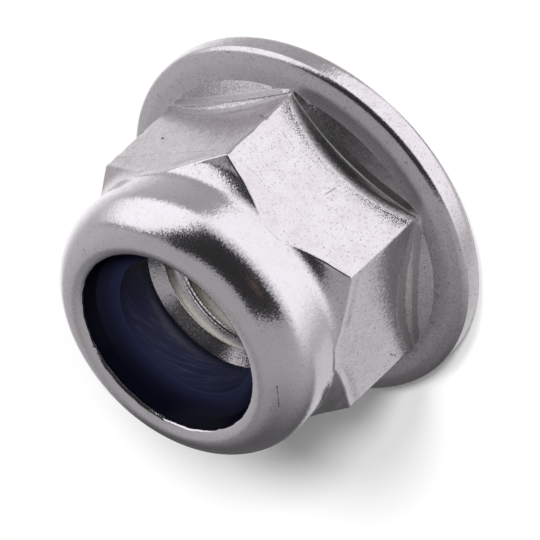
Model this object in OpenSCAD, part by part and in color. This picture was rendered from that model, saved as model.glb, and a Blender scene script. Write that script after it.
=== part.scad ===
// Hex flange nut with a crimped collar that holds a nylon locking ring.
// Millimetres, +Z up, origin at the centre of the flange's bearing face.
// The nut stands on its flange and the nylon end faces up.
// One corner of the hex lies on +X.

/* [Hex body] */
// Distance between opposite flats
across_flats = 12.78; // [12:0.05:15]
// How far each hex corner is pulled in from the sharp point
corner_trim = 0.03; // [0.02:0.01:0.4]
// Height of the hex corner edges above the bearing face
shoulder_height = 6.48; // [5:0.1:8]
// Slope of the shoulder above each hex corner, from level
shoulder_slope = 35; // [30:1:50]
// Radius of the hollow between the shoulder and the collar
valley_round = 1.3; // [0.8:0.05:1.5]

/* [Flange] */
// How far the flange reaches beyond the hex corners
flange_overhang = 1.39; // [1.2:0.01:4]
// Height of the crease where the rim band meets the flange top
rim_height = 1.46; // [1.1:0.02:2]
// How far the crease lies inside the widest diameter
rim_crease_inset = 0.16; // [0.1:0.02:0.5]
// Radius at the lower edge of the rim
rim_lower_round = 0.55; // [0.2:0.05:0.8]
// Slope of the flange top near the rim, from level
flange_slope = 14; // [5:1:20]
// Radius of the hollow where the flange top rises to the hex
neck_round = 2; // [1.6:0.05:2.4]

/* [Foot of the flats] */
// How far the foot ridge stands out at the middle of a flat
foot_reach = 0.36; // [0.25:0.01:0.5]
// How far the foot ridge stands out at a corner
foot_tip_reach = 0.14; // [0.08:0.01:0.2]
// Height of the foot ridge at a corner above the flange top there
foot_tip_rise = 0.06; // [0.03:0.01:0.15]

/* [Collar] */
// Height of the whole nut
nut_height = 11.08; // [10.4:0.05:14]
// How far the collar wall stands inside the flats
collar_inset = 0.03; // [0.03:0.01:0.3]
// How far the collar wall leans out between the valley and the dome
collar_belly = 0.08; // [0.02:0.01:0.2]
// Radius of the collar's outer shoulder
dome_round = 2.18; // [1.7:0.02:2.4]
// Radius of the collar where it rolls in to the lip
lip_round = 1.16; // [0.9:0.05:1.4]
// Wall of the collar beside the nylon ring
collar_wall = 0.85; // [0.6:0.05:1.1]
// Radius of the lip's rounded edge
lip_edge_round = 0.18; // [0.1:0.01:0.28]

/* [Thread bore] */
// Nominal diameter of the thread
thread_diameter = 8; // [6:0.1:8.4]
// Pitch of the thread
thread_pitch = 1.25; // [0.75:0.05:1.5]
// How much wider than the thread the countersink at the bearing face is
entry_extra = 0.4; // [0.1:0.05:0.9]
// Depth of the countersink at the bearing face
entry_depth = 0.6; // [0.4:0.05:1]
// Height of the steel seat that the nylon ring rests on
seat_height = 6.96; // [6.4:0.02:7.2]
// How far the countersink in the seat reaches beyond the bore
seat_countersink_reach = 0.15; // [0.1:0.01:0.8]
// Depth of the countersink in the seat
seat_countersink_depth = 0.1; // [0.1:0.05:0.8]

/* [Nylon ring] */
// How far the ring's bore lies outside the thread crests
ring_relief = 0.075; // [0.02:0.005:0.3]
// How far the flare at the ring's lower end reaches beyond its bore
ring_flare = 0.48; // [0.1:0.01:0.6]
// Height of the flare at the ring's lower end
ring_flare_height = 1.0; // [0.3:0.05:1.4]
// How far the ring's upper bore edge lies below the top of the nut
ring_edge_drop = 1.46; // [1.1:0.01:1.9]
// Rounding of the ring's upper bore edge
ring_edge_round = 0.15; // [0.05:0.01:0.3]
// How far the ring's sloping top lies below the top of the nut at the lip
ring_top_drop = 0.75; // [0.6:0.01:1]
// Clearance around the ring in its seat
ring_clearance = 0.02; // [0.01:0.01:0.05]

/* [Hidden] */
$fn = 96;

// A sliver that lets one solid reach into the next.
bite = 0.05;
// Radius and height inside which every outline is joined.
core_r = thread_diameter / 4;
core_z = 0.8;
// Lengths are kept to whole thousandths where one arc has to touch another.
function snap(length) = round(length * 1000) / 1000;

// Hex body
flat = across_flats / 2;
sharp_corner = flat / cos(30);
corner = snap(sharp_corner - corner_trim);

// Collar wall: it stands a little inside the flats, so the flats run up past it.
collar_r = flat - collar_inset;

// Shoulder and the hollow above it. The hollow is set into the shoulder by a
// little, and its arc ends upright against the collar, level with valley_top.
valley_set = 0.02;
valley_foot = snap(collar_r + valley_round * (1 - sin(shoulder_slope)));
valley_low = snap(shoulder_height + (corner - valley_foot) * tan(shoulder_slope));
valley_top = snap(valley_low + valley_round * cos(shoulder_slope) - valley_set);

// Collar: an outer arc, then a tighter arc that rolls to the lip.
// The arcs touch along the direction (0.6, 0.8), and the tighter arc touches
// the lip's round edge along (-0.28, 0.96).
dome_run = 0.6;
dome_rise = 0.8;
dome_centre_r = collar_r + collar_belly - dome_round;
lip_centre_r = dome_centre_r + (dome_round - lip_round) * dome_run;
lip_centre_z = nut_height - lip_round;
dome_centre_z = lip_centre_z - (dome_round - lip_round) * dome_rise;
edge_run = 0.28;
edge_rise = 0.96;
edge_r = lip_centre_r - (lip_round - lip_edge_round) * edge_run;
edge_z = lip_centre_z + (lip_round - lip_edge_round) * edge_rise;

// Recess inside the collar, rounded under the lip.
recess_r = collar_r - collar_wall;
recess_round = 0.9;
recess_top = edge_z - lip_edge_round;

// Flange: rim band, sloping top, then the hollow up to the hex.
rim_r = corner + flange_overhang;
crease_r = rim_r - rim_crease_inset;
// The hollow's centre lies almost neck_round above the sloping top, so it cuts
// in by a little, and its arc would be upright just inside the flats.
neck_set = 0.01;
neck_wall_r = flat - 0.1;
neck_centre_r = neck_wall_r + neck_round;
neck_start_r = neck_centre_r - neck_round * sin(flange_slope);
neck_start_z = rim_height + (crease_r - neck_start_r) * tan(flange_slope);
neck_centre_z = snap(neck_start_z + neck_round * cos(flange_slope) - neck_set);

// Foot ridge: a hollow arc from inside the flat out to the ridge, which it
// meets along (0.6, 0.8), then a 45 degree skirt down to the corner tips.
foot_bury = 0.06;
foot_mid = flat + foot_reach;
foot_round = (foot_reach + foot_bury) / 0.4;
tip_r = corner + foot_tip_reach;
neck_at_tip = neck_centre_z - sqrt(pow(neck_round, 2) - pow(neck_centre_r - tip_r, 2));
tip_z = snap(neck_at_tip + foot_tip_rise);
foot_mid_z = tip_z + tip_r - foot_mid;
foot_arc_r = flat - foot_bury;
foot_arc_z = foot_mid_z + foot_round * 0.8;
// Plan of the foot: a wide arc from tip to tip on each side.
foot_bulge = foot_mid - tip_r * cos(30);
foot_half = tip_r * sin(30);
foot_plan_r = snap((foot_half * foot_half + foot_bulge * foot_bulge) / (2 * foot_bulge));

// Thread bore. The crests of an ISO thread in a nut lie
// 5/8 of its sharp depth inside the nominal size.
minor_r = thread_diameter / 2 - 5 / 8 * thread_pitch * cos(30);
entry_r = (thread_diameter + entry_extra) / 2;
seat_edge_r = minor_r + seat_countersink_reach;

// Nylon ring
ring_r = recess_r - ring_clearance;
ring_round = recess_round - ring_clearance;
ring_low = seat_height;
ring_high = recess_top - ring_clearance;
ring_bore_r = minor_r + ring_relief;
ring_flare_r = ring_bore_r + ring_flare;
ring_edge_z = nut_height - ring_edge_drop;
ring_top_z = nut_height - ring_top_drop;

// Flange outline for revolving: bearing face, rim band, sloping top, hollow.
module flange_outline() {
    difference() {
        union() {
            polygon([
                [core_r, 0],
                [rim_r - rim_lower_round, 0],
                [rim_r, rim_lower_round],
                [rim_r, rim_height * 0.62],
                [crease_r, rim_height],
                [neck_start_r, neck_start_z],
                [neck_start_r, neck_start_z + 0.5],
                [neck_wall_r + 0.3, foot_mid_z - 0.06],
                [core_r, foot_mid_z - 0.06]
            ]);
            translate([rim_r - rim_lower_round, rim_lower_round])
                circle(r = rim_lower_round);
        }
        translate([neck_centre_r, neck_centre_z]) circle(r = neck_round);
    }
}

// Foot ridge round the hex: wide arcs in plan under a revolved skirt.
module foot_plan() {
    intersection_for (side = [0:5])
        rotate([0, 0, 30 + side * 60])
            translate([foot_mid - foot_plan_r, 0, core_z])
                cylinder(h = foot_arc_z, r = foot_plan_r, $fn = 180);
}

module skirt_outline() {
    difference() {
        polygon([
            [core_r, core_z],
            [tip_r + 0.1, core_z],
            [tip_r + 0.1, tip_z - 0.1],
            [foot_mid, foot_mid_z],
            [foot_mid, foot_arc_z],
            [core_r, foot_arc_z]
        ]);
        translate([foot_arc_r + foot_round, foot_arc_z]) circle(r = foot_round);
    }
}

module foot_solid() {
    intersection() {
        foot_plan();
        rotate_extrude() skirt_outline();
    }
}

// Turned outline above the flange: trimmed corners, shoulder, hollow, collar.
module turned_outline() {
    difference() {
        polygon([
            [core_r, core_z],
            [corner, core_z],
            [corner, shoulder_height],
            [valley_foot, valley_low],
            [valley_foot, valley_top],
            [collar_r, valley_top],
            [collar_r + collar_belly, dome_centre_z],
            [core_r, dome_centre_z]
        ]);
        translate([collar_r + valley_round, valley_top]) circle(r = valley_round);
    }
    // Outer arc of the dome.
    intersection() {
        translate([dome_centre_r, dome_centre_z]) circle(r = dome_round);
        polygon([
            [core_r, dome_centre_z - bite],
            [dome_centre_r + 3, dome_centre_z - bite],
            [dome_centre_r + 3, dome_centre_z + 3 * dome_rise / dome_run],
            [lip_centre_r, lip_centre_z],
            [core_r, lip_centre_z]
        ]);
    }
    // Tighter arc that ends at the lip's round edge.
    intersection() {
        translate([lip_centre_r, lip_centre_z]) circle(r = lip_round);
        polygon([
            [edge_r, lip_centre_z - bite],
            [lip_centre_r, lip_centre_z - bite],
            [lip_centre_r + 3 * dome_run, lip_centre_z + 3 * dome_rise],
            [lip_centre_r - 3 * edge_run, lip_centre_z + 3 * edge_rise],
            [edge_r, edge_z]
        ]);
    }
    translate([edge_r, edge_z]) circle(r = lip_edge_round);
}

// The hollow that holds the ring; the ring itself uses the same outline.
module recess_outline(wall_r, round_r, top_z, low_z) {
    polygon([
        [core_r, low_z],
        [wall_r, low_z],
        [wall_r, top_z - round_r],
        [wall_r - round_r, top_z - round_r],
        [wall_r - round_r, top_z],
        [core_r, top_z]
    ]);
    translate([wall_r - round_r, top_z - round_r]) circle(r = round_r);
}

// Everything cut along the axis: bore and two countersinks.
module bore_cut() {
    translate([0, 0, -1]) cylinder(h = nut_height, r = minor_r);
    translate([0, 0, -bite])
        cylinder(h = entry_depth + bite,
                 r1 = entry_r + bite * (entry_r - minor_r) / entry_depth,
                 r2 = minor_r);
    translate([0, 0, seat_height - seat_countersink_depth])
        cylinder(h = seat_countersink_depth + bite,
                 r1 = minor_r,
                 r2 = seat_edge_r + bite * seat_countersink_reach / seat_countersink_depth);
}

// Steel nut: flange, hex, shoulder and crimped collar are one forging.
module nut_body() {
    color([0.74, 0.73, 0.75])
    difference() {
        union() {
            rotate_extrude() flange_outline();
            foot_solid();
            intersection() {
                cylinder(h = nut_height + 1, r = sharp_corner, $fn = 6);
                rotate_extrude() turned_outline();
            }
        }
        rotate_extrude() recess_outline(recess_r, recess_round, recess_top, seat_height);
        bore_cut();
    }
}

// Nylon ring outline: flared foot, straight bore, rounded edge,
// and a top that slopes up to the lip.
module ring_outline() {
    intersection() {
        recess_outline(ring_r, ring_round, ring_high, ring_low);
        union() {
            polygon([
                [ring_flare_r, ring_low],
                [ring_r + 1, ring_low],
                [ring_r + 1, ring_high + 1],
                [edge_r + 2 * lip_edge_round, ring_high + 1],
                [edge_r, ring_top_z],
                [ring_bore_r + ring_edge_round, ring_edge_z],
                [ring_bore_r, ring_edge_z - ring_edge_round],
                [ring_bore_r, ring_low + ring_flare_height]
            ]);
            translate([ring_bore_r + ring_edge_round, ring_edge_z - ring_edge_round])
                circle(r = ring_edge_round);
        }
    }
}

// Locking ring of nylon, seated in the collar.
module nylon_ring() {
    color([0.11, 0.12, 0.24])
    rotate_extrude() ring_outline();
}

nut_body();
nylon_ring();
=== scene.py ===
"""Dressed model of a nylon insert flange nut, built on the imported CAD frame.

Lengths in the property groups are metres; the mesh code works in millimetres
and scales its points once, at the end.
"""

import math
from types import SimpleNamespace

import bmesh
import bpy
import numpy as np
from mathutils import Matrix, Vector


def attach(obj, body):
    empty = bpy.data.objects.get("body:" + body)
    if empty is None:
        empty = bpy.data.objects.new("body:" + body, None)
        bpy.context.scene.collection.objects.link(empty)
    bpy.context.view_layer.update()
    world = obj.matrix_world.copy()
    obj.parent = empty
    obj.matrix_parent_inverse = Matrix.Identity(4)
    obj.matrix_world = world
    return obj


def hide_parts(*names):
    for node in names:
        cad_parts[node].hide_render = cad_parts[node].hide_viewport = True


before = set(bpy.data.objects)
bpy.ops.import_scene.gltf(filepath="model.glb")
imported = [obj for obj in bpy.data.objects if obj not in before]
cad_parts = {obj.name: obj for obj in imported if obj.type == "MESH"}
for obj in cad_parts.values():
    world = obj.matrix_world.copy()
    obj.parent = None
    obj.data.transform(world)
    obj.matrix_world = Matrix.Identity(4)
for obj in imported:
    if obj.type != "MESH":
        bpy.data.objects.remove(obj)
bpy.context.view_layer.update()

bl_info = {
    "name": "Nylon Insert Flange Nut",
    "version": (1, 0, 0),
    "blender": (4, 5, 0),
    "location": "View3D > Sidebar > Flange Nut",
    "description": "Builds a stainless flange nut with a crimped nylon locking ring",
    "category": "Add Mesh",
}

MM = 0.001

# Camera: the photograph's view, rolled so that the collar points down and left.
CAMERA_SPOT = (-10.5777, -167.9169, 135.0656)
CAMERA_RIGHT = (-0.708519, -0.40732, -0.576274)
CAMERA_DOWN = (-0.704177, 0.461563, 0.539532)
CAMERA_AHEAD = (0.046224, 0.788067, -0.613851)

# Where the light of each lamp goes, how steeply, and how soft it is, in degrees.
LAMPS = (("key", 98, 36, 10), ("fill left", 88, 33, 16), ("fill right", 119, 43, 13))

# Lean of the rim's wide arc and the turn at the end of its roll, in degrees.
RIM_LEAN, RIM_TURN = 14, 60
# The crease lies this far below the stated rim height, in mm.
CREASE_DROP = 0.05
# Slope of the flange's top, in degrees, at each radius: a tight hollow against
# the foot of the hex, then nearly level, then steeper towards the rim.
FLANGE_SLOPES = ((6.5, 47), (7.36, 46), (7.361, 9), (7.95, 8), (8.1, 17), (8.25, 24))
RIM_SLOPE = 28
# Radii of the flange's rows: some counted back from the crease, then fixed ones.
BACK_FROM_CREASE = (0.05, 0.12, 0.24, 0.32, 0.4)
FLANGE_RADII = (8.1, 8.03, 7.96, 7.88, 7.75, 7.6, 7.48, 7.42, 7.36, 7.29)
# The wall under each foot ridge starts this far outside the ridge, in mm.
RIDGE_WALL = 0.13
# The flare above the ridge falls off with this power of what is left of its height.
FLARE_POWER = 2.6
# Rounding of the hex's corner edges in mm, and how the flats lean in for each mm
# above the height where the lean starts.
CORNER_ROUND = 0.2
FLAT_LEAN, LEAN_START = 0.012, 3.2
SHOULDER_SLOPE = 35
# Where the dome's arc and the roll to the lip end, as unit steps out and up.
DOME_END, ROLL_END = (0.6, 0.8), (-0.28, 0.96)
# Rounding at the top of the recess behind the ring, in mm.
RECESS_ROUND = 0.9

# Corner (degrees), height, depth and reach of each knock on the hex's edges, in mm.
KNOCKS = ((-60, 3.55, 0.1, 0.12), (-60, 3.85, -0.05, 0.1), (-60, 4.7, 0.03, 0.3),
          (-60, 6.2, 0.05, 0.12), (-120, 3.3, 0.05, 0.15), (-120, 4.6, 0.03, 0.3),
          (-120, 5.9, 0.04, 0.15), (0, 3.9, 0.05, 0.15), (0, 5.4, 0.03, 0.2),
          (60, 4.2, 0.05, 0.2), (120, 5.1, 0.04, 0.2), (180, 3.5, 0.04, 0.2))
# Start, end and width of each scratch in the steel, in mm, and its strength.
SCRATCHES = (
    ((-0.38, -6.39, 4.29), (-0.50, -6.39, 3.45), 0.025, 0.55),
    ((6.46, -1.60, 4.57), (6.41, -1.72, 4.66), 0.07, 0.9),
    ((-4.63, -3.16, 10.80), (-5.26, -2.18, 10.73), 0.03, 0.9),
    ((5.25, -0.67, 11.01), (5.07, -0.64, 11.06), 0.02, 0.8),
    ((4.02, -5.87, 3.36), (3.74, -6.33, 3.64), 0.035, 0.95),
    ((3.35, -6.35, 6.30), (2.20, -6.35, 6.15), 0.018, 0.35),
    ((2.20, -6.35, 6.15), (1.08, -6.35, 6.35), 0.018, 0.35),
    ((7.20, -0.25, 5.95), (5.40, -3.40, 6.00), 0.018, 0.4),
    ((5.40, -3.40, 6.00), (4.10, -5.60, 6.10), 0.018, 0.4),
    ((-6.90, -0.75, 3.50), (-7.10, -0.40, 3.10), 0.05, 0.6),
    ((2.60, -6.39, 3.60), (1.90, -6.39, 3.75), 0.02, 0.4),
    ((-4.10, -4.90, 5.20), (-4.40, -4.60, 4.10), 0.02, 0.4),
)

# What a smudge leaves of the steel's colour, and the tones that the steel turns
# to: a dark tone for painted shade (partly forging skin), oily thread, and dirt in the marks.
SMUDGE_SHARE = (0.72, 0.70, 0.66)
SHADE_AND_SKIN_TONE = (0.27, 0.255, 0.265)
THREAD_TONE = (0.46, 0.435, 0.375)
DIRT_TONE = (0.10, 0.085, 0.075)
# Tones of the nylon: pale wisps in the bore, and painted shade beside the lip, where the lip
# overhangs the ring.
WISP_TONE = (0.035, 0.037, 0.065)
LIP_SHADE_TONE = (0.013, 0.0135, 0.016)


def length(name, description, default):
    """A length property, given in millimetres and stored in metres."""
    return bpy.props.FloatProperty(
        name=name, description=description, default=default * MM,
        min=0.0, precision=5, unit="LENGTH", subtype="DISTANCE")


def number(name, description, default, low=0.0):
    return bpy.props.FloatProperty(
        name=name, description=description, default=default, min=low)


def colour(name, description, default):
    return bpy.props.FloatVectorProperty(
        name=name, description=description, default=default,
        size=3, min=0.0, max=1.0, subtype="COLOR")


def share(name, description, default):
    return bpy.props.FloatProperty(
        name=name, description=description, default=default,
        min=0.0, max=1.0, subtype="FACTOR")


class NutSizes(bpy.types.PropertyGroup):
    flat: length("Flat", "Distance from the axis to a flat of the hex", 6.39)
    corner: length("Corner", "Distance from the axis to a corner edge", 7.348)
    shoulder_height: length("Shoulder height", "Height of the corner edges", 6.48)
    valley_round: length("Valley", "Radius of the hollow under the collar", 1.3)
    rim_radius: length("Rim", "Radius of the flange", 8.739)
    rim_height: length("Rim height", "Height of the crease round the rim", 1.46)
    rim_inset: length("Rim inset", "How far the crease lies inside the rim", 0.2)
    rim_lower: length("Rim lower edge", "Rounding under the rim", 0.55)
    crease_roll: length("Crease roll", "Radius of the roll at the crease", 0.41)
    foot_reach: length("Foot", "Reach of the foot ridge at mid flat", 0.36)
    foot_tip: length("Foot tip", "Reach of the foot ridge at a corner", 0.14)
    foot_rise: length("Foot rise", "Height of the tip above the flange", 0.06)
    height: length("Height", "Height of the whole nut", 11.08)
    collar_inset: length("Collar inset", "Collar wall inside the flats", 0.03)
    collar_belly: length("Collar belly", "How far the collar wall leans out", 0.08)
    dome_round: length("Dome", "Radius of the collar's outer arc", 2.18)
    lip_round: length("Lip roll", "Radius where the collar rolls to the lip", 1.16)
    lip_edge: length("Lip edge", "Radius of the lip's rounded edge", 0.18)
    collar_wall: length("Collar wall", "Thickness of the collar", 0.85)
    entry_radius: length("Entry", "Radius of the countersink underneath", 4.2)
    entry_depth: length("Entry depth", "Depth of that countersink", 0.6)
    seat_height: length("Seat", "Height of the ledge under the nylon", 6.96)
    seat_radius: length("Seat radius", "Radius of the countersink in that ledge", 3.95)
    seat_lean: number("Seat slope", "Reach of that countersink for its depth", 1.0, 0.1)


class ThreadSizes(bpy.types.PropertyGroup):
    major: length("Major radius", "Radius at the thread's root", 4.02)
    minor: length("Minor radius", "Radius at the thread's crests", 3.3234)
    pitch: length("Pitch", "Rise of the thread per turn", 1.25)
    crest_height: length("Crest height", "Height of one crest on +X", 5.466)


class RingSizes(bpy.types.PropertyGroup):
    bore: length("Bore", "Radius of the nylon's bore", 3.3984)
    flare: length("Flare", "Reach of the flare at the lower end", 0.48)
    flare_height: length("Flare height", "Height of that flare", 1.0)
    edge_drop: length("Edge drop", "Upper bore edge below the nut's top", 1.46)
    top_drop: length("Top drop", "Ring's top at the lip below the nut's top", 0.46)
    clearance: length("Clearance", "Gap round the ring in its seat", 0.02)


class Finish(bpy.types.PropertyGroup):
    steel: colour("Steel", "Colour of the polished steel", (0.69, 0.655, 0.70))
    nylon: colour("Nylon", "Colour of the locking ring", (0.0115, 0.0135, 0.036))
    floor: colour("Floor", "Colour of the floor", (0.9, 0.9, 0.9))
    grain: share("Grain", "Strength of the steel's hairlines", 0.5)


class Studio(bpy.types.PropertyGroup):
    key: number("Key light", "Strength of the main lamp", 2.2)
    fill: number("Fill light", "Strength of the right lamp, twice the left's", 1.55)
    lens: number("Lens", "Focal length on a 36 mm sensor", 331.64, 1.0)


class Board:
    """Builds one node tree: every node comes from node()."""

    def __init__(self, tree):
        self.tree = tree
        tree.nodes.clear()

    def node(self, kind, settings=None, inputs=None):
        made = self.tree.nodes.new(kind)
        for name, value in (settings or {}).items():
            setattr(made, name, value)
        for name, value in (inputs or {}).items():
            self.feed(made.inputs[name], value)
        return made

    def feed(self, socket, value):
        if isinstance(value, Wire):
            self.tree.links.new(value.socket, socket)
        elif isinstance(value, bpy.types.NodeSocket):
            self.tree.links.new(value, socket)
        else:
            socket.default_value = value

    def wire(self, node, output=0):
        return Wire(self, node.outputs[output])

    def split(self, vector):
        """The three numbers of a vector."""
        parts = self.node("ShaderNodeSeparateXYZ", None, {0: vector})
        return [self.wire(parts, k) for k in range(3)]

    def join(self, x, y, z):
        return self.node("ShaderNodeCombineXYZ", None, {0: x, 1: y, 2: z}).outputs[0]

    def vector(self, operation, *values, **named):
        """The vector that one Vector Math node gives."""
        inputs = {**dict(enumerate(values)), **named}
        return self.node("ShaderNodeVectorMath", {"operation": operation}, inputs).outputs[0]

    def measure(self, operation, *values):
        """The number that one Vector Math node gives."""
        made = self.node("ShaderNodeVectorMath", {"operation": operation},
                         dict(enumerate(values)))
        return self.wire(made, 1)

    def mix(self, factor, start, end):
        """A colour between two others."""
        start, end = (value if isinstance(value, bpy.types.NodeSocket) else (*value, 1.0)
                      for value in (start, end))
        made = self.node("ShaderNodeMix", {"data_type": "RGBA"},
                         {"Factor": factor, "A": start, "B": end})
        return made.outputs["Result"]

    def noise(self, scale, detail=2.0, roughness=0.5, at=None, output=0):
        """A noise texture, by default at the place on the piece in mm."""
        made = self.node("ShaderNodeTexNoise", {"noise_dimensions": "3D"},
                         {"Vector": self.spot if at is None else at, "Scale": scale,
                          "Detail": detail, "Roughness": roughness})
        return self.wire(made, output)


class PieceBoard(Board):
    """The board of a new material, with the place on the piece at hand in mm."""

    def __init__(self, name):
        self.material = bpy.data.materials.new(name)
        self.material.use_nodes = True
        super().__init__(self.material.node_tree)
        place_on = self.node("ShaderNodeTexCoord")
        self.spot = self.vector("SCALE", place_on.outputs["Object"], Scale=1 / MM)
        self.x, self.y, self.z = self.split(self.spot)
        self.radius = (self.x * self.x + self.y * self.y) ** 0.5

    def finished(self, shader):
        self.node("ShaderNodeOutputMaterial", None, {"Surface": shader.outputs[0]})
        return self.material


class Wire:
    """A value socket that takes part in plain Python arithmetic."""

    def __init__(self, board, socket):
        self.board = board
        self.socket = socket

    def maths(self, operation, *others):
        made = self.board.node("ShaderNodeMath", {"operation": operation},
                               dict(enumerate((self,) + others)))
        return Wire(self.board, made.outputs[0])

    def __add__(self, other):
        return self.maths("ADD", other)

    __radd__ = __add__

    def __mul__(self, other):
        return self.maths("MULTIPLY", other)

    __rmul__ = __mul__

    def __sub__(self, other):
        return self.maths("SUBTRACT", other)

    def __rsub__(self, other):
        made = self.board.node("ShaderNodeMath", {"operation": "SUBTRACT"},
                               {0: other, 1: self})
        return Wire(self.board, made.outputs[0])

    def __truediv__(self, other):
        return self.maths("DIVIDE", other)

    def __pow__(self, other):
        return self.maths("POWER", other)

    def at_most(self, other):
        return self.maths("MINIMUM", other)

    def at_least(self, other):
        return self.maths("MAXIMUM", other)

    def step(self, low, high):
        """0 below low, 1 above high, smooth between."""
        made = self.board.node("ShaderNodeMapRange",
                               {"interpolation_type": "SMOOTHSTEP"},
                               {"Value": self, "From Min": low, "From Max": high})
        return Wire(self.board, made.outputs[0])

    def band(self, low, high, soft_low, soft_high=None):
        """1 between low and high, with soft edges centred on both."""
        soft_high = soft_low if soft_high is None else soft_high
        rise = self.step(low - soft_low, low + soft_low)
        return rise * (1 - self.step(high - soft_high, high + soft_high))

    def toward(self, value, mask):
        """Moves to the value where the mask is 1."""
        return self + (value - self) * mask


def in_mm(group):
    """A property group's values by name, with its lengths in millimetres."""
    kinds = group.bl_rna.properties
    return SimpleNamespace(**{
        name: getattr(group, name) / (MM if kinds[name].subtype == "DISTANCE" else 1)
        for name in group.__annotations__})


def column_angles():
    """Angles round the nut, close together at the six rounded corners."""
    near = [0.0, 0.25, 0.5, 0.75, 1.0, 1.3, 1.7, 2.2, 2.9, 3.8, 5.0]
    across = list(np.linspace(6.5, 30.0, 14))
    half = near + across
    sector = half + [60.0 - a for a in reversed(half[1:-1])]
    return np.radians([60.0 * k + a for k in range(6) for a in sector])


def hex_radius(angle, flat, rounding):
    """Radius of a hex with rounded corners at each angle, a corner at 0."""
    alpha = np.mod(angle, math.pi / 3) - math.pi / 6
    plain = flat / np.cos(alpha)
    centre = (flat - rounding) / math.cos(math.pi / 6)
    psi = math.pi / 6 - np.abs(alpha)
    round_end = math.atan2(rounding * 0.5, centre + rounding * math.cos(math.pi / 6))
    inside = np.maximum(rounding ** 2 - (centre * np.sin(psi)) ** 2, 0.0)
    return np.where(psi < round_end, centre * np.cos(psi) + np.sqrt(inside), plain)


def foot_radius(angle, mid, tip):
    """Plan of the foot ridge: a wide arc over each flat, from tip to tip."""
    alpha = np.mod(angle, math.pi / 3) - math.pi / 6
    bulge = mid - tip * math.cos(math.pi / 6)
    half = tip * 0.5
    wide = (half * half + bulge * bulge) / (2 * bulge)
    centre = mid - wide
    return centre * np.cos(alpha) + np.sqrt(wide ** 2 - (centre * np.sin(alpha)) ** 2)


def lip_form(nut):
    """Centre of the collar's inner roll, and of the lip's rounded edge."""
    dome_r = nut.flat - nut.collar_inset + nut.collar_belly - nut.dome_round
    roll_r = dome_r + (nut.dome_round - nut.lip_round) * DOME_END[0]
    roll_z = nut.height - nut.lip_round
    lip_r = roll_r + (nut.lip_round - nut.lip_edge) * ROLL_END[0]
    lip_z = roll_z + (nut.lip_round - nut.lip_edge) * ROLL_END[1]
    return dome_r, roll_r, roll_z, lip_r, lip_z


class Profile:
    """Rows of (radius, height) arrays, one entry for each column."""

    def __init__(self, count):
        self.count = count
        self.rows = []

    def spread(self, value):
        return np.broadcast_to(np.asarray(value, float), (self.count,)).copy()

    def add(self, r, z):
        self.rows.append((self.spread(r), self.spread(z)))

    def line(self, start, end, steps):
        """Points on a straight line, leaving the start out."""
        for i in range(1, steps + 1):
            t = i / steps
            self.add(start[0] + (end[0] - start[0]) * t,
                     start[1] + (end[1] - start[1]) * t)

    def arc(self, centre, radius, start, end, steps, first=1):
        """Points on an arc, leaving the start out unless first is 0."""
        for i in range(first, steps + 1):
            a = math.radians(start + (end - start) * i / steps)
            self.add(centre[0] + radius * math.cos(a), centre[1] + radius * math.sin(a))

    def bend(self, before, at, after, size, steps):
        """A rounded corner at a vertex, from its two neighbours."""
        p, v, q = (np.array([self.spread(c) for c in point]) for point in (before, at, after))
        to_p, to_q = p - v, q - v
        run_p = np.maximum(np.hypot(*to_p), 1e-9)
        run_q = np.maximum(np.hypot(*to_q), 1e-9)
        cut = np.minimum(size, 0.45 * np.minimum(run_p, run_q))
        a = v + to_p / run_p * cut
        b = v + to_q / run_q * cut
        for i in range(steps + 1):
            t = i / steps
            spot = a * (1 - t) ** 2 + v * 2 * t * (1 - t) + b * t ** 2
            self.rows.append((spot[0], spot[1]))


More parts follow.
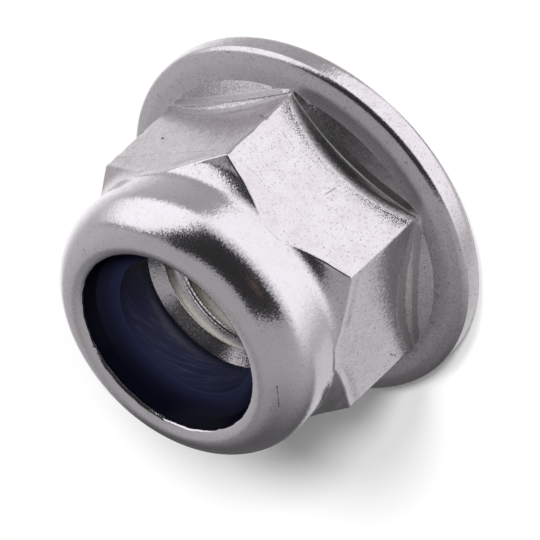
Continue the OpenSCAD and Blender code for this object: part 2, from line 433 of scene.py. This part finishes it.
class BodyProfile(Profile):
    """Rows of the steel body: the underside, round the outside, and down the bore."""

    def __init__(self, nut, thread):
        self.angle = column_angles()
        super().__init__(len(self.angle))
        self.size = in_mm(nut)
        self.thread = in_mm(thread)
        self.collar = self.size.flat - self.size.collar_inset
        self.crease_r = self.size.rim_radius - self.size.rim_inset
        self.crease_z = self.size.rim_height - CREASE_DROP
        self.turn = np.degrees(np.mod(self.angle + math.pi, 2 * math.pi) - math.pi)
        self.near_corner = np.clip(
            1 - np.abs(np.mod(self.turn + 30, 60) - 30) / 2.2, 0, 1)
        self.underside()
        self.rim()
        self.flange_top()
        self.foot_ridge()
        self.flats_and_shoulders()
        self.collar_and_lip()
        self.recess_and_bore()

    def underside(self):
        """The countersink's edge, the bearing face and the rounding under the rim."""
        size = self.size
        self.bend((size.entry_radius - 0.3, 0.2), (size.entry_radius, 0.0),
                  (size.entry_radius + 1, 0.0), 0.06, 3)
        self.line((size.entry_radius + 0.1, 0.0), (size.rim_radius - size.rim_lower - 0.1, 0.0), 5)
        self.arc((size.rim_radius - size.rim_lower, size.rim_lower), size.rim_lower, -90, 0, 8, 0)

    def rim(self):
        """A wide arc up the rim, then a tight one that rolls over at the crease."""
        roll = self.size.crease_roll
        lean, over = math.radians(RIM_LEAN), math.radians(RIM_TURN)
        roll_z = self.crease_z - roll * math.sin(over)
        roll_r = self.crease_r - roll * math.cos(over)
        band_high = 0.45
        band_low = roll_z + roll * math.sin(lean) - band_high
        band_wide = band_high / math.sin(lean)
        band_r = self.size.rim_radius - band_wide
        band_shift = roll_r + roll * math.cos(lean) - band_r - band_wide * math.cos(lean)
        for i in range(1, 7):
            a = lean * i / 6
            self.add(band_r + band_wide * math.cos(a) + band_shift * (i / 6) ** 2,
                     band_low + band_wide * math.sin(a))
        self.arc((roll_r, roll_z), roll, RIM_LEAN, RIM_TURN, 8)

    def flange_top(self):
        """Crowned at the rim, then a hollow that rises to the foot of the hex."""
        size = self.size
        slopes = FLANGE_SLOPES + ((self.crease_r, RIM_SLOPE),)
        fine = np.linspace(slopes[0][0], self.crease_r, 800)
        slope = np.interp(fine, [radius for radius, _ in slopes],
                          [math.tan(math.radians(degrees)) for _, degrees in slopes])
        fall = np.concatenate([[0], np.cumsum((slope[1:] + slope[:-1]) / 2 * np.diff(fine))])
        top = self.crease_z + fall[-1] - fall

        def neck(radius):
            return np.interp(radius, fine, top)

        tip = size.corner + size.foot_tip
        mid = size.flat + size.foot_reach
        self.foot = foot_radius(self.angle, mid, tip)
        self.mid_share = (tip - self.foot) / (tip - mid)
        self.base_r = self.foot + RIDGE_WALL
        last = self.base_r + 0.05
        radii = [self.crease_r - back for back in BACK_FROM_CREASE] + list(FLANGE_RADII)
        inner = FLANGE_RADII[-1]
        radii += [inner + (last - inner) * i / 6 for i in range(1, 7)]
        for radius in radii:
            held = np.maximum(radius, last)
            self.add(held, neck(held))
        self.ridge_z = neck(tip) + size.foot_rise + (tip - self.foot)
        self.base_z = np.minimum(neck(self.base_r), self.ridge_z - 0.05)
        self.bend((self.base_r + 0.1, neck(self.base_r + 0.1)), (self.base_r, self.base_z),
                  (self.foot, self.ridge_z), 0.03, 3)

    def flat_radius(self, z):
        """Radius of the hex: it leans in a little upwards, and dips at each knock."""
        lean = FLAT_LEAN * np.maximum(z - LEAN_START, 0)
        dip = 0.0
        for corner, height, deep, wide in KNOCKS:
            here = np.abs(self.turn - corner) < 10
            dip = dip + here * deep * np.exp(-((z - height) / wide) ** 2)
        plain = hex_radius(self.angle, self.size.flat, CORNER_ROUND)
        return plain - lean - self.near_corner * dip

    def foot_ridge(self):
        """The ridge over each flat, and the flare that runs from it up to the flat."""
        foot, ridge_z = self.foot, self.ridge_z
        rise = 0.52 + 0.24 * self.mid_share
        base = self.flat_radius(ridge_z)
        ledge = np.minimum(0.06, 0.3 * (foot - base))
        reach = np.maximum(foot - ledge - base, 0.01)
        low = ridge_z + 0.02
        near = (base + reach * 0.9 ** FLARE_POWER, low + rise * 0.1)
        self.bend((self.base_r, self.base_z), (foot, ridge_z), (foot - ledge, low), 0.02, 3)
        self.bend((foot, ridge_z), (foot - ledge, low), near, 0.015, 2)
        for i in range(1, 13):
            t = i / 12
            z = low + rise * (0.1 + 0.9 * t)
            self.add(self.flat_radius(z) + reach * (0.9 * (1 - t)) ** FLARE_POWER, z)
        self.flare_top = low + rise

    def flats_and_shoulders(self):
        """Each flat up to its worn edge, the shoulder, and the hollow under the collar."""
        size, collar, valley = self.size, self.collar, self.size.valley_round
        slope = math.radians(SHOULDER_SLOPE)
        valley_foot = collar + valley * (1 - math.sin(slope))
        valley_low = size.shoulder_height + (size.corner - valley_foot) * math.tan(slope)
        self.valley_top = valley_low + valley * math.cos(slope) - 0.02

        def shoulder(radius):
            across = valley ** 2 - (collar + valley - radius) ** 2
            hollow = self.valley_top - np.sqrt(np.maximum(across, 0))
            cone = size.shoulder_height + (size.corner - radius) * math.tan(slope)
            return np.where(radius < valley_foot, hollow, cone)

        edge_r = np.maximum(self.flat_radius(7.0), collar + 0.01)
        edge_z = shoulder(edge_r)
        for i in range(1, 19):
            z = self.flare_top + (edge_z - self.flare_top) * (i / 19)
            worn = 0.02 * np.clip((z - (edge_z - 0.6)) / 0.1, 0, 1)
            self.add(self.flat_radius(z) - worn * (np.abs(edge_r - collar) > 0.1), z)
        inside = np.minimum(0.25, (edge_r - collar) * 0.8)
        self.bend((edge_r, edge_z - 0.5), (edge_r, edge_z),
                  (edge_r - inside, shoulder(edge_r - inside)), 0.06, 4)
        for i in range(1, 13):
            t = i / 12
            radius = edge_r - 0.03 + (collar - edge_r + 0.03) * (1 - (1 - t) ** 1.7)
            held = np.minimum(radius, edge_r)
            self.add(held, shoulder(held))

    def collar_and_lip(self):
        """The collar's wall, its dome, the roll inward and the lip's ragged edge."""
        size, angle = self.size, self.angle
        dome_r, roll_r, roll_z, self.lip_r, self.lip_z = lip_form(size)
        dome_z = roll_z - (size.dome_round - size.lip_round) * DOME_END[1]
        turn = math.degrees(math.atan2(DOME_END[1], DOME_END[0]))
        for i in range(1, 8):
            t = i / 7
            self.add(self.collar + size.collar_belly * math.sin(t * math.pi / 2),
                     self.valley_top + (dome_z - self.valley_top) * t)
        self.arc((dome_r, dome_z), size.dome_round, 0, turn, 18)
        last = math.degrees(math.atan2(ROLL_END[1], ROLL_END[0]))
        self.arc((roll_r, roll_z), size.lip_round, turn, last, 14)
        ragged = (0.5 * np.sin(angle * 23 + 1) + 0.3 * np.sin(angle * 41 + 2)
                  + 0.2 * np.sin(angle * 67))
        ragged = 0.012 * (1 + ragged * (1.2 + np.sin(angle - 0.3)))
        for i in range(1, 11):
            a = math.radians(last + (270 - last) * i / 10)
            rough = ragged * math.sin(math.pi * i / 10)
            self.add(self.lip_r + (size.lip_edge + rough) * math.cos(a),
                     self.lip_z + size.lip_edge * math.sin(a))

    def recess_and_bore(self):
        """The recess that holds the ring, then the ledge and the bore at root size."""
        size, thread, seat = self.size, self.thread, self.size.seat_height
        wall = self.collar - size.collar_wall
        roof = self.lip_z - size.lip_edge
        self.line((self.lip_r, roof), (wall - RECESS_ROUND, roof), 2)
        self.arc((wall - RECESS_ROUND, roof - RECESS_ROUND), RECESS_ROUND, 90, 0, 6)
        self.line((wall, roof - RECESS_ROUND), (wall, seat), 2)
        self.line((wall, seat), (size.seat_radius, seat), 3)
        inner_r = thread.minor + 0.1
        inner_z = seat - (size.seat_radius - inner_r) / size.seat_lean
        self.line((size.seat_radius, seat), (inner_r, inner_z), 3)
        self.add(inner_r + 0.01, inner_z - 0.03)
        self.add(thread.major, inner_z - 0.35)
        entry_lean = (size.entry_radius - thread.minor) / size.entry_depth
        root_low = (size.entry_radius - thread.major) / entry_lean
        self.line((thread.major, inner_z - 0.35), (thread.major, root_low), 6)


def woven_mesh(name, angle, rows):
    """A closed mesh from rows that go once round the section, and round the axis."""
    columns, count = len(angle), len(rows)
    points = np.empty((count, columns, 3))
    for i, (r, z) in enumerate(rows):
        points[i, :, 0] = r * np.cos(angle)
        points[i, :, 1] = r * np.sin(angle)
        points[i, :, 2] = z
    i, j = np.meshgrid(np.arange(count), np.arange(columns), indexing="ij")
    i2, j2 = (i + 1) % count, (j + 1) % columns
    faces = np.stack([i * columns + j, i * columns + j2,
                      i2 * columns + j2, i2 * columns + j], axis=-1).reshape(-1, 4)
    return closed_mesh(name, (points.reshape(-1, 3) * MM).tolist(), faces.tolist())


def lathe_mesh(name, outline, steps):
    """A closed ring turned from an outline of (radius, height) points."""
    angle = np.linspace(0, 2 * math.pi, steps, endpoint=False)
    return woven_mesh(name, angle, [(np.full(steps, r), np.full(steps, z)) for r, z in outline])


def helix_mesh(name, section, pitch, low, high, steps=96):
    """A thread ridge: a section swept up a helix, closed at both ends."""
    count = int((high - low) / pitch * steps) + 1
    points, faces = [], []
    n = len(section)
    for k in range(count):
        turn = 2 * math.pi * k / steps
        z0 = low + pitch * k / steps
        for r, z in section:
            points.append((r * math.cos(turn) * MM, r * math.sin(turn) * MM, (z0 + z) * MM))
    for k in range(count - 1):
        for m in range(n):
            m2 = (m + 1) % n
            faces.append((k * n + m, k * n + m2, (k + 1) * n + m2, (k + 1) * n + m))
    faces.append(tuple(reversed(range(n))))
    faces.append(tuple((count - 1) * n + m for m in range(n)))
    return closed_mesh(name, points, faces)


def closed_mesh(name, points, faces):
    """A mesh with every face turned outward."""
    mesh = bpy.data.meshes.new(name)
    mesh.from_pydata(points, [], faces)
    mesh.update()
    work = bmesh.new()
    work.from_mesh(mesh)
    bmesh.ops.recalc_face_normals(work, faces=work.faces)
    if work.calc_volume(signed=True) < 0:
        bmesh.ops.reverse_faces(work, faces=work.faces)
    work.to_mesh(mesh)
    work.free()
    return mesh


def without_slivers(mesh):
    """Drops the faces of no area that a solid operation leaves behind."""
    tiny = 0.0005 * MM
    work = bmesh.new()
    work.from_mesh(mesh)
    bmesh.ops.triangulate(work, faces=[f for f in work.faces if len(f.verts) > 4])
    bmesh.ops.remove_doubles(work, verts=work.verts, dist=tiny)
    bmesh.ops.dissolve_degenerate(work, edges=work.edges, dist=tiny)
    work.to_mesh(mesh)
    work.free()


def place(name, mesh):
    piece = bpy.data.objects.new(name, mesh)
    bpy.context.scene.collection.objects.link(piece)
    return piece


def joined(piece, other, operation):
    """Applies one solid operation between two closed meshes."""
    step = piece.modifiers.new("solid", "BOOLEAN")
    step.operation = operation
    step.object = other
    step.solver = "MANIFOLD"
    graph = bpy.context.evaluated_depsgraph_get()
    result = bpy.data.meshes.new_from_object(piece.evaluated_get(graph))
    piece.modifiers.clear()
    old = piece.data
    piece.data = result
    bpy.data.meshes.remove(old)
    gone = other.data
    bpy.data.objects.remove(other)
    bpy.data.meshes.remove(gone)


def smooth(piece, degrees):
    """Smooth shading, with an edge kept wherever two faces meet more sharply."""
    mesh = piece.data
    mesh.polygons.foreach_set("use_smooth", [True] * len(mesh.polygons))
    mesh.set_sharp_from_angle(angle=math.radians(degrees))
    even = piece.modifiers.new("even shading", "WEIGHTED_NORMAL")
    even.keep_sharp = True
    even.weight = 80


def settle(piece, material, node):
    """Gives a piece its material, and sets it in place of a CAD node."""
    piece.data.materials.clear()
    piece.data.materials.append(material)
    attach(piece, "root")
    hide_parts(node)


def steel_marks(board, collar):
    """How dirty the steel is: pits, specks and broken scratches."""
    cells = board.node("ShaderNodeTexVoronoi", {"feature": "F1", "voronoi_dimensions": "3D"},
                       {"Vector": board.spot, "Scale": 3.2})
    chance = board.node("ShaderNodeSeparateColor", None, {0: cells.outputs["Color"]})
    size = 0.05 + 0.1 * board.wire(chance, 1)
    pit = (1 - (board.wire(cells, 0) / size).step(0.6, 1.0)) * board.wire(chance, 0).step(0.45, 0.5)
    specks = board.noise(9.0, 3.0, 0.7).step(0.59, 0.69)
    marks = (pit * 0.65).at_least(specks * 0.55) * (1 - collar * 0.6)

    broken = (board.noise(7.0, 3.0, 0.7) - 0.52).at_least(0.0)
    for start, end, wide, strength in SCRATCHES:
        along = Vector(end) - Vector(start)
        here = board.vector("SUBTRACT", board.spot, start)
        part = board.measure("DOT_PRODUCT", here, along / along.length_squared)
        nearest = board.vector("SCALE", along, Scale=part.at_least(0.0).at_most(1.0))
        away = board.measure("DISTANCE", here, nearest) + broken * 0.5
        marks = marks.at_least((1 - away.step(wide * 0.6, wide * 1.8)) * strength)
    return marks


def steel_material(finish):
    """Tumbled and polished stainless steel: short hairlines, tiny pits, soft clouds."""
    board = PieceBoard("polished_steel")
    x, y, z, radius = board.x, board.y, board.z, board.radius
    normal = board.node("ShaderNodeNewGeometry").outputs["Normal"]
    lift = board.split(normal)[2]

    # Where each finish lies.
    collar = z.step(7.2, 8.4)
    flange = (1 - z.step(2.2, 2.7)) * radius.step(6.6, 6.9) * lift.step(0.7, 0.88)
    inside = 1 - radius.step(4.15, 4.35)
    grooves = inside * radius.step(3.4, 3.6) * z.step(0.5, 0.65) * (1 - z.step(6.25, 6.45))
    ragged = board.noise(4.0, 3.0, 0.7) - 0.5
    foot = (1 - (z + ragged * 0.5).step(2.9, 3.4)) * radius.step(6.2, 6.35)
    foot = foot * (1 - radius.step(7.35, 7.5))

    # Painted shade: the steel is darkened where the flats flare out (partly forging skin),
    # in the hollow below them, over the lens beside one flat, and on the far side of the flange.
    flare_shade_and_skin = foot * (lift + ragged * 0.25).band(0.12, 0.58, 0.12, 0.06)
    hollow = radius.step(6.45, 6.6) * (1 - (radius + ragged * 0.9).step(7.15, 8.0))
    hollow = hollow * (1 - z.step(2.3, 2.8)) * lift.step(0.5, 0.6)
    # Painted shade: the hollow's lens beside one flat is darkened.
    lens_shade = hollow * (x * 0.866 - y * 0.5).step(6.25, 6.45) * lift.band(0.62, 0.8, 0.04)
    # Painted shade: the far side of the flange is darkened.
    side = (1 - (x + ragged * 1.5).step(-7.0, -2.0)) * flange

    # Hairlines that run up the nut, and a fine grain, tilt the surface.
    upright = board.vector("MULTIPLY", board.spot, (2.0, 2.0, 0.5))
    hair = board.vector("SUBTRACT", board.noise(9.0, 1.0, 0.6, upright, 1), (0.5, 0.5, 0.5))
    fine = board.vector("SUBTRACT", board.noise(16.0, 2.0, 0.7, None, 1), (0.5, 0.5, 0.5))
    hair = board.vector("SCALE", hair, Scale=finish.grain * 0.4 * (1 - foot * 0.6))
    fine = board.vector("SCALE", fine, Scale=0.16 + 0.4 * foot)
    push = board.vector("ADD", hair, fine)
    tilted = board.vector("NORMALIZE", board.vector("ADD", normal, push))

    cloud = board.noise(0.8, 3.0, 0.6)
    grit = board.noise(12.0, 3.0, 0.75)
    smudge = board.noise(2.2, 5.0, 0.75).step(0.45, 0.75)
    marks = steel_marks(board, collar)

    rough = 0.12 + 0.05 * cloud + 0.16 * flange - 0.03 * collar + 0.04 * inside + 0.25 * marks
    rough = rough + 0.12 * flare_shade_and_skin + 0.10 * grit + 0.35 * grooves
    rough = rough + hollow * (0.06 + 0.24 * (1 - (x + ragged * 3).step(-2.5, 1.5)))

    faint = (cloud.step(0.35, 0.7) * 0.2 + smudge * 0.45) * (1 - collar * 0.6)
    smudged = [part * kept for part, kept in zip(finish.steel, SMUDGE_SHARE)]
    tone = board.mix(faint * (1 - flange * 0.5), finish.steel, smudged)
    # Grit speckles, heavier in the hollow and on the far side as painted shade; with the masks
    # above they darken the steel.
    grit_and_shade = (hollow + side + 0.6 - collar * 0.45) * (grit - 0.47).at_least(0.0) * 1.5
    shade_and_skin = (flare_shade_and_skin * 0.75 + lens_shade * 0.6 + side * 0.25 + grit_and_shade).at_most(1.0)
    tone = board.mix(shade_and_skin, tone, SHADE_AND_SKIN_TONE)
    tone = board.mix(grooves * (0.6 + 0.4 * cloud), tone, THREAD_TONE)
    tone = board.mix(marks, tone, DIRT_TONE)
    return board.finished(board.node("ShaderNodeBsdfPrincipled", None, {
        "Base Color": tone, "Metallic": 1 - 0.6 * grooves, "Roughness": rough,
        "Normal": tilted}))


def nylon_material(finish):
    """Navy nylon: glossy in the bore, matt and softly crowned on top."""
    board = PieceBoard("navy_nylon")
    x, y, z, radius = board.x, board.y, board.z, board.radius
    wave = board.noise(1.5, 2.0)

    # The bore is glossy. Pale wisps run down it at a slant.
    bore = (1 - radius.step(3.5, 3.9)) * (1 - z.step(9.4, 9.6))
    bump = board.node("ShaderNodeBump", None,
                      {"Height": wave, "Strength": 0.15, "Distance": 0.05 * MM})
    slant = board.join(y.maths("ARCTAN2", x) * 3.0 + z * 2.2, z * 0.35, 0.0)
    wisp = board.noise(2.2, 2.0, 0.6, slant).band(0.53, 0.58, 0.03)
    wisp = wisp * bore * z.band(7.2, 9.3, 0.4)
    wisped = board.mix(wisp * 0.5, [part * 0.8 for part in finish.nylon], WISP_TONE)
    glossy = board.node("ShaderNodeBsdfPrincipled", None, {
        "Base Color": wisped, "Roughness": 0.2 + wave * 0.1 + bore * 0.2,
        "Specular IOR Level": 0.25, "Normal": bump.outputs[0]})

    # The top is matt, with fine turning marks, and its shading leans outward.
    turned = board.noise(1.0, 2.0, 0.5, board.join(radius * 14.0, z * 2.0, wave * 3.0))
    crown = radius.step(3.2, 4.4) * 0.92 + (turned - 0.5) * 0.05
    leaning = board.vector("NORMALIZE", board.join(x / radius * crown, y / radius * crown, 1.0))
    # Painted shade: the top darkens towards the lip, where the lip overhangs it.
    lip_shaded = board.mix(radius.step(3.9, 4.45) * 0.6, finish.nylon, LIP_SHADE_TONE)
    matt = board.node("ShaderNodeBsdfPrincipled", None, {
        "Base Color": lip_shaded, "Roughness": 0.5, "Specular IOR Level": 0.0, "Normal": leaning})
    return board.finished(board.node("ShaderNodeMixShader", None, {
        0: z.step(9.6, 9.63) * 0.85, 1: glossy.outputs[0], 2: matt.outputs[0]}))


def studio_light(board):
    """The world: a studio of pale and dark cards for glossy rays, plain for others.

    turn and rise are the direction's azimuth and elevation in degrees.
    """
    x, y, z = board.split(board.node("ShaderNodeTexCoord").outputs["Generated"])
    turn = y.maths("ARCTAN2", x) * (180 / math.pi)
    rise = z.maths("ARCSINE") * (180 / math.pi)

    def turned_from(centre):
        return (turn - centre).maths("WRAP", 180.0, -180.0)

    # Walls: mid grey, with a slow change from side to side.
    light = 0.46 + 0.13 * turned_from(40).band(-45, 35, 25) * (1 - rise.step(20, 70))
    light = light + 0.10 * turned_from(180).band(-40, 30, 20) * (1 - rise.step(-30, 30))
    # Pale floor below, on two sides.
    below = 1 - rise.step(-24, 2)
    light = light.toward(1.30, below * turned_from(-95).band(-64, 50, 22, 4))
    light = light.toward(1.15, below * turned_from(62).band(-26, 25, 22, 3))
    # Shaded side behind, where the floor is in the nut's own shadow, and lit floor
    # further down.
    shade = turned_from(118).band(-31, 40, 4, 34) * (1 - rise.step(10, 62))
    light = light.toward(0.12, shade)
    light = light.toward(0.75, turned_from(145).band(-42, 32, 12) * (1 - rise.step(-38, -29)))
    # White card on the right, with a thin dark edge along its top.
    lean = turn - rise * 0.1
    over = rise - 39 + (-15 - turn).at_least(0.0) * 0.5 + (turn - 5).at_least(0.0) * 1.4
    card = lean.band(-46, 20, 4, 14) * rise.step(-25, -18) * (1 - over.step(-2, 2))
    light = light.toward(1.36, card)
    light = light.toward(0.12, turn.band(-50, 26, 6, 6) * over.band(2.5, 8, 2))
    # Black card in front, with a warm spot on it.
    lean = turn - (rise - 5).at_least(0.0) * 0.82
    card = turn.step(-139, -131) * (1 - lean.step(-56, -48)) * rise.band(0, 60, 2, 3)
    light = light.toward(0.035, card)
    spot = ((turn + 107) / 7) ** 2 + ((rise - 20 - (-107 - turn) * 0.5) / 5) ** 2
    spot = 1 - spot.step(0.2, 1.6)
    light = light.toward(0.16, spot)

    cards = board.node("ShaderNodeBackground", None, {
        "Color": board.mix(spot, (1.0, 1.0, 1.0), (1.0, 0.62, 0.56)), "Strength": light})
    plain = board.node("ShaderNodeBackground", None,
                       {"Color": (1.0, 1.0, 1.0, 1.0), "Strength": 0.17})
    path = board.node("ShaderNodeLightPath")
    both = board.node("ShaderNodeMixShader", None, {
        0: path.outputs["Is Glossy Ray"], 1: plain.outputs[0], 2: cards.outputs[0]})
    board.node("ShaderNodeOutputWorld", None, {"Surface": both.outputs[0]})


def thread_ridge(nut, thread):
    """The thread's ridge, trimmed by the countersinks at both ends of the bore."""
    root = thread.major + 0.06
    crest = thread.pitch / 8
    foot = crest + (root - thread.minor) * math.tan(math.radians(30))
    foot = min(foot, thread.pitch / 2 - 0.01)
    r = thread.minor
    section = [(root, -foot), (r + 0.03, -crest - 0.01), (r, -crest + 0.02),
               (r, -0.05), (r + 0.05, 0.0), (r, 0.05),
               (r, crest - 0.02), (r + 0.03, crest + 0.01), (root, foot)]
    low = thread.crest_height - thread.pitch * 6
    ridge = place("thread", helix_mesh("thread", section, thread.pitch, low,
                                       low + thread.pitch * 8))

    entry, depth, seat = nut.entry_radius, nut.entry_depth, nut.seat_height
    seat_r = nut.seat_radius + 0.02
    slope = (entry - r) / depth
    limit = lathe_mesh("limit", [
        (entry + 0.05, -0.05 / slope), (r - 0.1, depth + 0.1 / slope),
        (r - 0.1, seat - (seat_r - r + 0.1) / nut.seat_lean),
        (seat_r, seat), (entry + 0.05, seat)], 240)
    joined(ridge, place("limit", limit), "INTERSECT")
    return ridge


class FLANGENUT_OT_body(bpy.types.Operator):
    """Build the steel body with its thread"""
    bl_idname = "flangenut.body"
    bl_label = "Steel body"

    def execute(self, context):
        nut, thread = context.scene.nut_sizes, context.scene.thread_sizes
        profile = BodyProfile(nut, thread)
        piece = place("nut_body_steel",
                      woven_mesh("nut_body_steel", profile.angle, profile.rows))
        joined(piece, thread_ridge(in_mm(nut), in_mm(thread)), "UNION")
        without_slivers(piece.data)
        smooth(piece, 36)
        settle(piece, steel_material(context.scene.finish), "nut_body")
        return {"FINISHED"}


class FLANGENUT_OT_ring(bpy.types.Operator):
    """Build the nylon locking ring"""
    bl_idname = "flangenut.ring"
    bl_label = "Nylon ring"

    def execute(self, context):
        nut, ring = in_mm(context.scene.nut_sizes), in_mm(context.scene.ring_sizes)
        lip_r, lip_z = lip_form(nut)[3:]
        wall = nut.flat - nut.collar_inset - nut.collar_wall - ring.clearance
        roof = lip_z - nut.lip_edge - ring.clearance
        edge, top = nut.height - ring.edge_drop, nut.height - ring.top_drop
        low, rise, bore = nut.seat_height, ring.flare_height, ring.bore

        count = 240
        profile = Profile(count)
        for i in range(13):
            t = i / 12
            profile.add(bore + ring.flare * (1 - t) ** 1.5, low + rise * t)
        profile.line((bore, low + rise), (bore, edge - 0.25), 4)
        profile.bend((bore, edge - 1), (bore, edge), (bore + 1, edge + 0.1), 0.035, 3)
        # A dished top that rises to meet the underside of the lip.
        start = (bore + 0.04, edge + 0.004)
        for i in range(1, 13):
            t = i / 12
            profile.add(start[0] + (lip_r - start[0]) * t, start[1] + (top - start[1]) * t ** 1.7)
        shoulder = RECESS_ROUND - ring.clearance
        profile.line((lip_r, top), (wall - shoulder, roof), 2)
        profile.arc((wall - shoulder, roof - shoulder), shoulder, 90, 0, 8)
        profile.line((wall, roof - shoulder), (wall, low), 3)
        profile.line((wall, low), (bore + ring.flare + 0.05, low), 3)
        angle = np.linspace(0, 2 * math.pi, count, endpoint=False)
        piece = place("nylon_ring_navy", woven_mesh("nylon_ring_navy", angle, profile.rows))
        smooth(piece, 40)
        settle(piece, nylon_material(context.scene.finish), "nylon_ring")
        return {"FINISHED"}


def set_camera(scene, lens):
    data = bpy.data.cameras.new("camera")
    data.lens = lens
    data.sensor_width = 36.0
    data.clip_start = 0.01
    camera = bpy.data.objects.new("camera", data)
    turn = Matrix((Vector(CAMERA_RIGHT), -Vector(CAMERA_DOWN), -Vector(CAMERA_AHEAD)))
    spot = Vector(CAMERA_SPOT) * MM
    camera.matrix_world = Matrix.Translation(spot) @ turn.transposed().to_4x4()
    scene.collection.objects.link(camera)
    scene.camera = camera


def lay_floor(tone):
    """A floor that the camera sees as white, and that glossy rays pass through."""
    half = 1.5
    mesh = bpy.data.meshes.new("floor")
    mesh.from_pydata([(-half, -half, 0), (half, -half, 0), (half, half, 0), (-half, half, 0)],
                     [], [(0, 1, 2, 3)])
    floor = place("floor", mesh)
    floor.location.z = -0.02 * MM
    floor.visible_glossy = False
    material = bpy.data.materials.new("floor")
    material.use_nodes = True
    board = Board(material.node_tree)
    path = board.node("ShaderNodeLightPath")
    shade = board.mix(path.outputs["Is Camera Ray"], tone, (1.0, 1.0, 1.0))
    matt = board.node("ShaderNodeBsdfDiffuse", None, {"Color": shade})
    board.node("ShaderNodeOutputMaterial", None, {"Surface": matt.outputs[0]})
    mesh.materials.append(material)


def hang_lamps(scene, studio):
    """Three soft lamps side by side; their shadows fall down the picture and overlap."""
    strengths = (studio.key, studio.fill * 0.5, studio.fill)
    for (name, turn, rise, soft), strength in zip(LAMPS, strengths):
        lamp = bpy.data.lights.new(name, "SUN")
        lamp.energy = strength
        lamp.angle = math.radians(soft)
        light = bpy.data.objects.new(name, lamp)
        turn, rise = math.radians(turn), math.radians(rise)
        heading = Vector((math.cos(turn) * math.cos(rise), math.sin(turn) * math.cos(rise),
                          -math.sin(rise)))
        light.rotation_euler = heading.to_track_quat("-Z", "Y").to_euler()
        light.visible_glossy = False
        scene.collection.objects.link(light)


class FLANGENUT_OT_stage(bpy.types.Operator):
    """Set the floor, lights, world and camera"""
    bl_idname = "flangenut.stage"
    bl_label = "Stage"

    def execute(self, context):
        scene = context.scene
        set_camera(scene, scene.studio.lens)
        lay_floor(scene.finish.floor)
        world = bpy.data.worlds.new("studio")
        world.use_nodes = True
        studio_light(Board(world.node_tree))
        scene.world = world
        hang_lamps(scene, scene.studio)
        scene.view_settings.view_transform = "Standard"
        return {"FINISHED"}


class FLANGENUT_PT_panel(bpy.types.Panel):
    """Sizes and build steps of the flange nut"""
    bl_idname = "FLANGENUT_PT_panel"
    bl_label = "Flange Nut"
    bl_space_type = "VIEW_3D"
    bl_region_type = "UI"
    bl_category = "Flange Nut"

    def draw(self, context):
        for name, kind in GROUPS.items():
            box = self.layout.box()
            box.label(text=name.replace("_", " ").capitalize())
            for entry in kind.__annotations__:
                box.prop(getattr(context.scene, name), entry)
        for step in STEPS:
            self.layout.operator(step.bl_idname)


GROUPS = {
    "nut_sizes": NutSizes,
    "thread_sizes": ThreadSizes,
    "ring_sizes": RingSizes,
    "finish": Finish,
    "studio": Studio,
}
STEPS = (FLANGENUT_OT_stage, FLANGENUT_OT_body, FLANGENUT_OT_ring)


def register():
    for name, group in GROUPS.items():
        bpy.utils.register_class(group)
        setattr(bpy.types.Scene, name, bpy.props.PointerProperty(type=group))
    for step in STEPS:
        bpy.utils.register_class(step)
    bpy.utils.register_class(FLANGENUT_PT_panel)


def unregister():
    bpy.utils.unregister_class(FLANGENUT_PT_panel)
    for step in reversed(STEPS):
        bpy.utils.unregister_class(step)
    for name, group in reversed(list(GROUPS.items())):
        delattr(bpy.types.Scene, name)
        bpy.utils.unregister_class(group)


def main():
    register()
    bpy.ops.flangenut.stage()
    bpy.ops.flangenut.body()
    bpy.ops.flangenut.ring()


if __name__ == "__main__":
    main()
